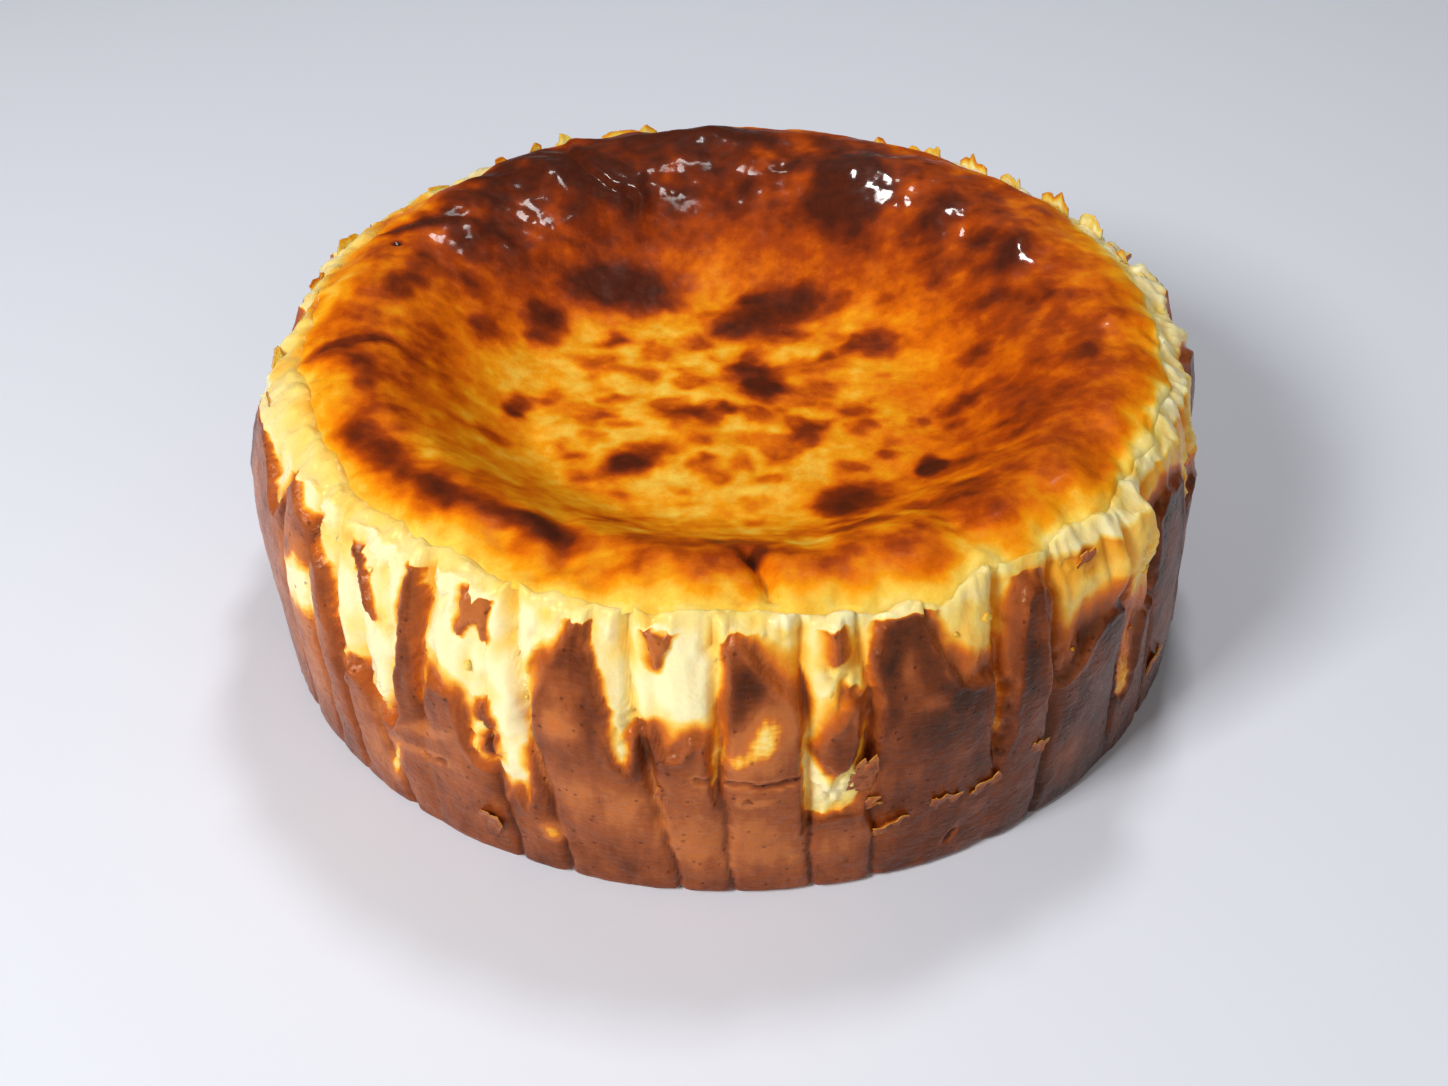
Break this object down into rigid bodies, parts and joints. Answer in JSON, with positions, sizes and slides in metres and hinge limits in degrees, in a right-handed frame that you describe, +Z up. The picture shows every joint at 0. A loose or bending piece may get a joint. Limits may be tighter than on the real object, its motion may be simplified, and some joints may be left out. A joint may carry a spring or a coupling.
{
  "type": "basque cheesecake",
  "caption": "Whole round burnt cheesecake with a sunken browned top, a puffed rim and a wall pleated and torn by its baking paper.",
  "frame": {"origin": "centre of the flat resting face at the cake's axis", "axes": "+Z up, -Y towards the side that faces the viewer, +X to the viewer's right"},
  "size_m": [0.1911, 0.1911, 0.0642],
  "materials": {
    "cake": "baked custard, glossy caramelised brown on top, satin brown skin and pale torn cheese on the wall"
  },
  "bodies": {
    "root": {"cake": "cake"}
  },
  "joints": []
}
